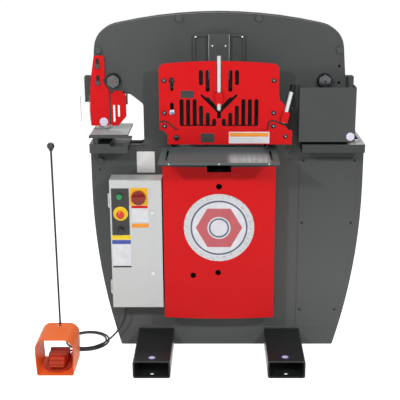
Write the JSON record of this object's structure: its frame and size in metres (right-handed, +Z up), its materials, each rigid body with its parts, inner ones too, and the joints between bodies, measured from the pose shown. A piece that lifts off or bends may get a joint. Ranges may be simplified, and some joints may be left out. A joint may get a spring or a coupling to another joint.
{
  "type": "hydraulic ironworker",
  "caption": "Free-standing hydraulic ironworker: punch, bar and angle shear and notcher on one pull-down beam between two frame plates, with a control box and a foot pedal on a cord.",
  "frame": {"origin": "on the floor, in the middle of the four floor-anchor holes of the base tubes", "axes": "+X to the operator's right, +Y away from the operator, +Z up"},
  "size_m": [1.336, 0.73, 1.424],
  "materials": {
    "frame_paint": "semi-gloss dark grey paint",
    "tube_paint": "semi-gloss black paint",
    "guard_paint": "gloss red paint",
    "box_paint": "light grey powder coat",
    "dark_steel": "blackened steel",
    "bright_steel": "ground steel",
    "bronze": "plain bronze",
    "clear_sheet": "clear polycarbonate",
    "hood_paint": "gloss orange paint",
    "treadle_paint": "worn red-orange paint",
    "black_plastic": "satin black",
    "cord_rubber": "black jacket",
    "green_plastic": "gloss green",
    "red_plastic": "gloss red"
  },
  "bodies": {
    "frame": {"front_plate": "frame_paint", "rear_plate": "frame_paint", "frame_spacers": "dark_steel", "tie_bolts": "dark_steel", "base_tube_left": "tube_paint", "base_tube_right": "tube_paint", "guide_studs": "dark_steel", "wear_pads": "bronze", "centre_guard": "guard_paint", "lower_guard": "guard_paint", "guard_posts": "dark_steel", "button_screws": "dark_steel", "shear_table": "dark_steel", "front_cover": "guard_paint", "side_panel": "frame_paint", "stop_channel": "frame_paint", "stop_cover": "frame_paint", "punch_gate": "guard_paint", "die_bolster": "dark_steel", "punch_die": "bright_steel", "punch_table": "bright_steel", "notcher_guard": "frame_paint", "notcher_bolster": "dark_steel", "notcher_die": "bright_steel", "lower_blade": "bright_steel", "cylinder_barrel": "dark_steel", "cylinder_gland": "bright_steel", "control_box": "box_paint", "oil_tank": "frame_paint", "pump_motor": "dark_steel", "pump_unit": "bright_steel", "oil_lines": "dark_steel", "pedal_hood": "hood_paint", "pedal_base": "treadle_paint", "carry_rod": "dark_steel", "carry_knob": "black_plastic", "box_gland": "black_plastic", "pedal_gland": "black_plastic", "foot_cord": "cord_rubber"},
    "stripper": {"punch_stripper": "guard_paint", "punch_shield": "clear_sheet"},
    "beam": {"beam": "dark_steel", "draw_links": "dark_steel", "link_pins": "bright_steel", "crosshead": "dark_steel", "piston_rod": "bright_steel", "punch_ram": "dark_steel", "punch": "bright_steel", "notcher_ram": "dark_steel", "upper_blade": "bright_steel"},
    "angle_screw": {"angle_screw": "bright_steel"},
    "flat_screw": {"flat_screw": "bright_steel"},
    "control_door": {"control_door": "box_paint"},
    "start_button": {"start_button": "green_plastic"},
    "estop_button": {"estop_button": "red_plastic"},
    "selector_knob": {"selector_knob": "black_plastic"},
    "disconnect_knob": {"disconnect_knob": "red_plastic"},
    "latch_upper": {"latch_upper": "bright_steel"},
    "latch_lower": {"latch_lower": "bright_steel"},
    "treadle": {"treadle": "treadle_paint"}
  },
  "joints": [
    {"name": "beam_stroke", "type": "slide", "parent": "frame", "child": "beam", "axis": [0, 0, -1], "range_m": [0, 0.036]},
    {"name": "stripper_height", "type": "slide", "parent": "frame", "child": "stripper", "axis": [0, 0, -1], "range_m": [0, 0.01]},
    {"name": "angle_hold_down", "type": "slide", "parent": "frame", "child": "angle_screw", "axis": [0, 0, 1], "range_m": [0, 0.06]},
    {"name": "flat_hold_down", "type": "slide", "parent": "frame", "child": "flat_screw", "axis": [0.225, 0, 0.9744], "range_m": [0, 0.03]},
    {"name": "door_hinge", "type": "hinge", "parent": "frame", "child": "control_door", "pos_m": [-0.4495, -0.12, 0.4895], "axis": [0, 0, -1], "range_deg": [0, 110]},
    {"name": "start_press", "type": "slide", "parent": "control_door", "child": "start_button", "axis": [0, 1, 0], "range_m": [0, 0.004], "stiffness_N_per_m": 600, "springref_m": -0.002},
    {"name": "estop_press", "type": "slide", "parent": "control_door", "child": "estop_button", "axis": [0, 1, 0], "range_m": [0, 0.005]},
    {"name": "selector_turn", "type": "hinge", "parent": "control_door", "child": "selector_knob", "pos_m": [-0.4045, -0.137, 0.553], "axis": [0, 1, 0], "range_deg": [0, 90]},
    {"name": "disconnect_turn", "type": "hinge", "parent": "control_door", "child": "disconnect_knob", "pos_m": [-0.3265, -0.137, 0.694], "axis": [0, -1, 0], "range_deg": [0, 90]},
    {"name": "upper_latch_turn", "type": "hinge", "parent": "control_door", "child": "latch_upper", "pos_m": [-0.2725, -0.137, 0.628], "axis": [0, 1, 0], "range_deg": [0, 90]},
    {"name": "lower_latch_turn", "type": "hinge", "parent": "control_door", "child": "latch_lower", "pos_m": [-0.2725, -0.137, 0.36507], "axis": [0, 1, 0], "range_deg": [0, 90]},
    {"name": "treadle_press", "type": "hinge", "parent": "frame", "child": "treadle", "pos_m": [-0.664, -0.203, 0.024], "axis": [1, 0, 0], "range_deg": [0, 5], "stiffness_Nm_per_rad": 8, "springref_deg": -14.32}
  ]
}
